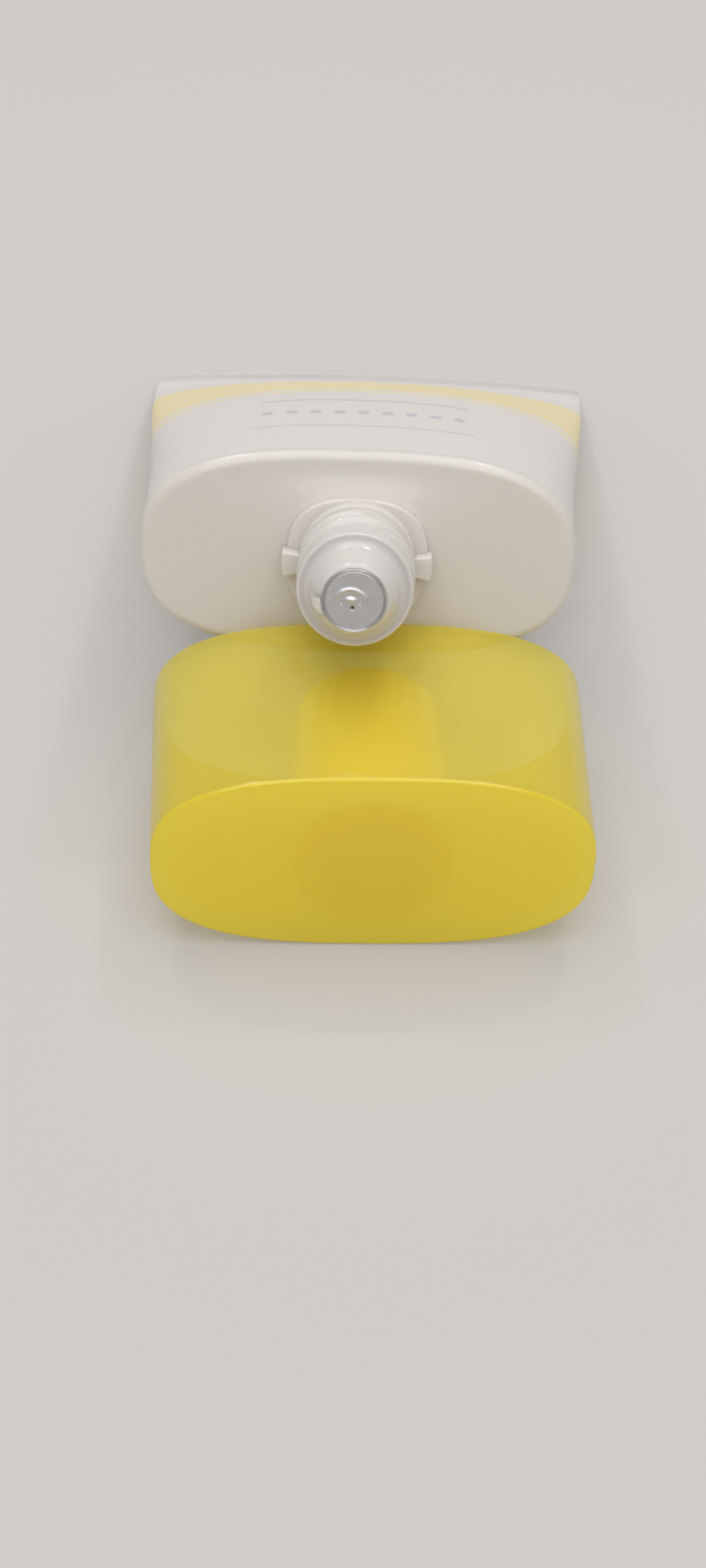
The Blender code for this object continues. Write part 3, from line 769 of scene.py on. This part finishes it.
def capSide(top, wall, fillet):
    # up one side of the wall, round the fillet and a little way in on the face
    low, steps = cap["sideLow"], cap["sideSteps"]
    rings = [capRing(low + (top - fillet - low) * step / steps, wall) for step in range(steps + 1)]
    for drawn, climbed in quarterRound(8, 1):
        rings.append(capRing(top - fillet * (1 - climbed), wall + fillet * drawn))
    return rings + [shrunk(rings[-1], 0.985), shrunk(rings[-1], 0.6)]


def makeCapShell():
    inner = capSide(cap["length"] - cap["face"], cap["wall"], cap["innerFillet"])
    outer = capSide(cap["length"], 0, cap["fillet"])
    wall, soft = cap["wall"], cap["rimFillet"]
    rim = [capRing(soft, wall), capRing(soft * 0.3, wall - soft * 0.3), capRing(0, wall - soft),
           capRing(0, soft), capRing(soft * 0.3, soft * 0.3), capRing(soft, 0)]
    work = pulledBody(inner[::-1] + rim + outer, cap["around"])
    plastic = clearYellow("milky clear yellow", shellLook)
    finishPiece(work, "capShell", capPlace, "cap", "cap_shell", plastic, 40)


makeCapShell()
print("stage 7: cap shell")


# the cap's socket: a threaded cup with a stop tongue and a seal ring

cup = {"bore": 0.0080, "outer": 0.0101, "top": 0.0315, "floor": 0.0303, "mouth": 0.0046, "tongue": 0.0020,
       "tongueHalf": math.pi * 0.42, "ring": 0.0049, "ringOuter": 0.0060, "ringEnd": 0.02140, "around": 192,
       "threadSteps": 100, "threadEase": 0.0006}
capThread = {"nearEnd": 0.0205, "from": math.radians(20), "pitch": 0.0033, "turns": 2.6, "height": 0.00065,
             "base": 0.0018, "crest": 0.0006, "fade": 0.07}


def mouthRing(radius, rise):
    # the mouth reaches further out on the side of the tongue
    def section(turn):
        inTongue = abs(turn + math.pi / 2) < cup["tongueHalf"]
        z = cup["mouth"] - (cup["tongue"] if inTongue else 0) + rise
        return Vector((radius * math.cos(turn), radius * math.sin(turn), z))
    return section


def makeSocket():
    outer, bore, top, floor, mouth, ring, ringOuter, ringEnd = (cup[key] for key in (
        "outer", "bore", "top", "floor", "mouth", "ring", "ringOuter", "ringEnd"))
    ease, steps = cup["threadEase"], cup["threadSteps"]
    outside = [(0.006, top, 0), (outer, top, 0.0003), (outer, mouth + ease, 0)]
    inside = [(bore, floor - ease, 0), (bore, floor, 0.0004), (ringOuter, floor, 0.0003),
              (ringOuter, ringEnd, 0.0003), (ring, ringEnd, 0.0003), (ring, floor, 0.0003), (0.002, floor, 0)]
    rings = [roundRing(0.003, top)] + turnedProfile(outside)
    rings += [roundRing(outer - 0.00004, mouth + 0.0003), mouthRing(outer - 0.00015, 0.0001),
              mouthRing(outer - 0.0004, 0), mouthRing(bore + 0.0004, 0), mouthRing(bore + 0.00015, 0.0001),
              roundRing(bore + 0.00004, mouth + 0.0003)]
    rings += threadedRun(bore, mouth + ease, floor - ease, steps, capThread, -1) + turnedProfile(inside)[1:]
    work = pulledBody(rings, cup["around"])
    plastic = clearYellow("milky clear yellow socket", socketLook)
    finishPiece(work, "capSocket", capPlace, "cap", "cap_socket", plastic, 40)


makeSocket()
print("stage 8: cap socket")


# floor, light and camera

sheet = {"size": 4.0, "colour": (0.580, 0.567, 0.560, 1), "roughness": 0.9, "specular": 0.2,
         "pale": (0.640, 0.610, 0.560, 1), "paleShare": 0.26}
room = {"colour": (1, 0.985, 0.975, 1), "strength": 0.43}
lamps = {"overheadSoftbox": {"place": (0, 0.1, 2.0), "aim": (0, 0.1, 0), "size": 1.9, "power": 15.4},
         "frontSoftbox": {"place": (0, -1.12, 1.28), "aim": (0, 0, 0.02), "size": 1.6, "power": 11.2},
         "speckLeft": {"place": (-0.20, 0.30, 0.60), "aim": (0, 0, 0.03), "size": 0.05, "power": 0.35},
         "speckRight": {"place": (0.20, 0.28, 0.60), "aim": (0, 0, 0.03), "size": 0.05, "power": 0.35}}
camera = {"place": (-0.016646, -0.329483, 0.217748), "pitch": 37.047, "yaw": 2.307, "roll": 1.728, "lens": 59.60,
          "sensor": 36, "near": 0.01, "far": 10}


def paleSheet():
    board = Board("pale matt sheet", {"Base Color": sheet["colour"], "Roughness": sheet["roughness"],
                                      "Specular IOR Level": sheet["specular"]})
    # a share of the sheet is plain pale to the rays that show it, so its shadows stay soft and light
    rays = [board.add("LightPath", output=kind) for kind in ("Is Camera Ray", "Is Glossy Ray", "Is Transmission Ray")]
    share = (rays[0] + rays[1] + rays[2]).clipped() * sheet["paleShare"]
    pale = board.add("Emission", None, {"Color": sheet["pale"], "Strength": 1.0})
    board.show(board.add("MixShader", None, {0: share, 1: board.plain(), 2: pale}))
    return board.material


def makeFloor():
    work = bmesh.new()
    bmesh.ops.create_grid(work, x_segments=1, y_segments=1, size=sheet["size"] / 2)
    mesh = bpy.data.meshes.new("paleFloor")
    work.to_mesh(mesh)
    work.free()
    mesh.materials.append(paleSheet())
    floor = bpy.data.objects.new("paleFloor", mesh)
    bpy.context.scene.collection.objects.link(floor)


def makeLamp(name, place, aim, size, power):
    data = bpy.data.lights.new(name, "AREA")
    data.size = size
    data.energy = power
    lamp = bpy.data.objects.new(name, data)
    lamp.location = place
    lamp.rotation_mode = "QUATERNION"
    lamp.rotation_quaternion = (Vector(aim) - Vector(place)).to_track_quat("-Z", "Y")
    bpy.context.scene.collection.objects.link(lamp)


def makeRoom():
    world = bpy.data.worlds.new("pale room")
    bpy.context.scene.world = world
    world.use_nodes = True
    background = world.node_tree.nodes["Background"]
    background.inputs["Color"].default_value = room["colour"]
    background.inputs["Strength"].default_value = room["strength"]


def makeCamera():
    data = bpy.data.cameras.new("photoCamera")
    data.lens = camera["lens"]
    data.sensor_width = camera["sensor"]
    data.clip_start, data.clip_end = camera["near"], camera["far"]
    viewer = bpy.data.objects.new("photoCamera", data)
    yaw = Matrix.Rotation(-math.radians(camera["yaw"]), 4, "Z")
    tilt = Matrix.Rotation(math.radians(90 - camera["pitch"]), 4, "X")
    roll = Matrix.Rotation(math.radians(camera["roll"]), 4, "Z")
    viewer.matrix_world = Matrix.Translation(camera["place"]) @ (yaw @ tilt) @ roll
    bpy.context.scene.collection.objects.link(viewer)
    bpy.context.scene.camera = viewer


makeFloor()
makeRoom()
for name, lamp in lamps.items():
    makeLamp(name, **lamp)
makeCamera()
bpy.context.scene.view_settings.view_transform = "Standard"
print("stage 9: floor, light and camera")
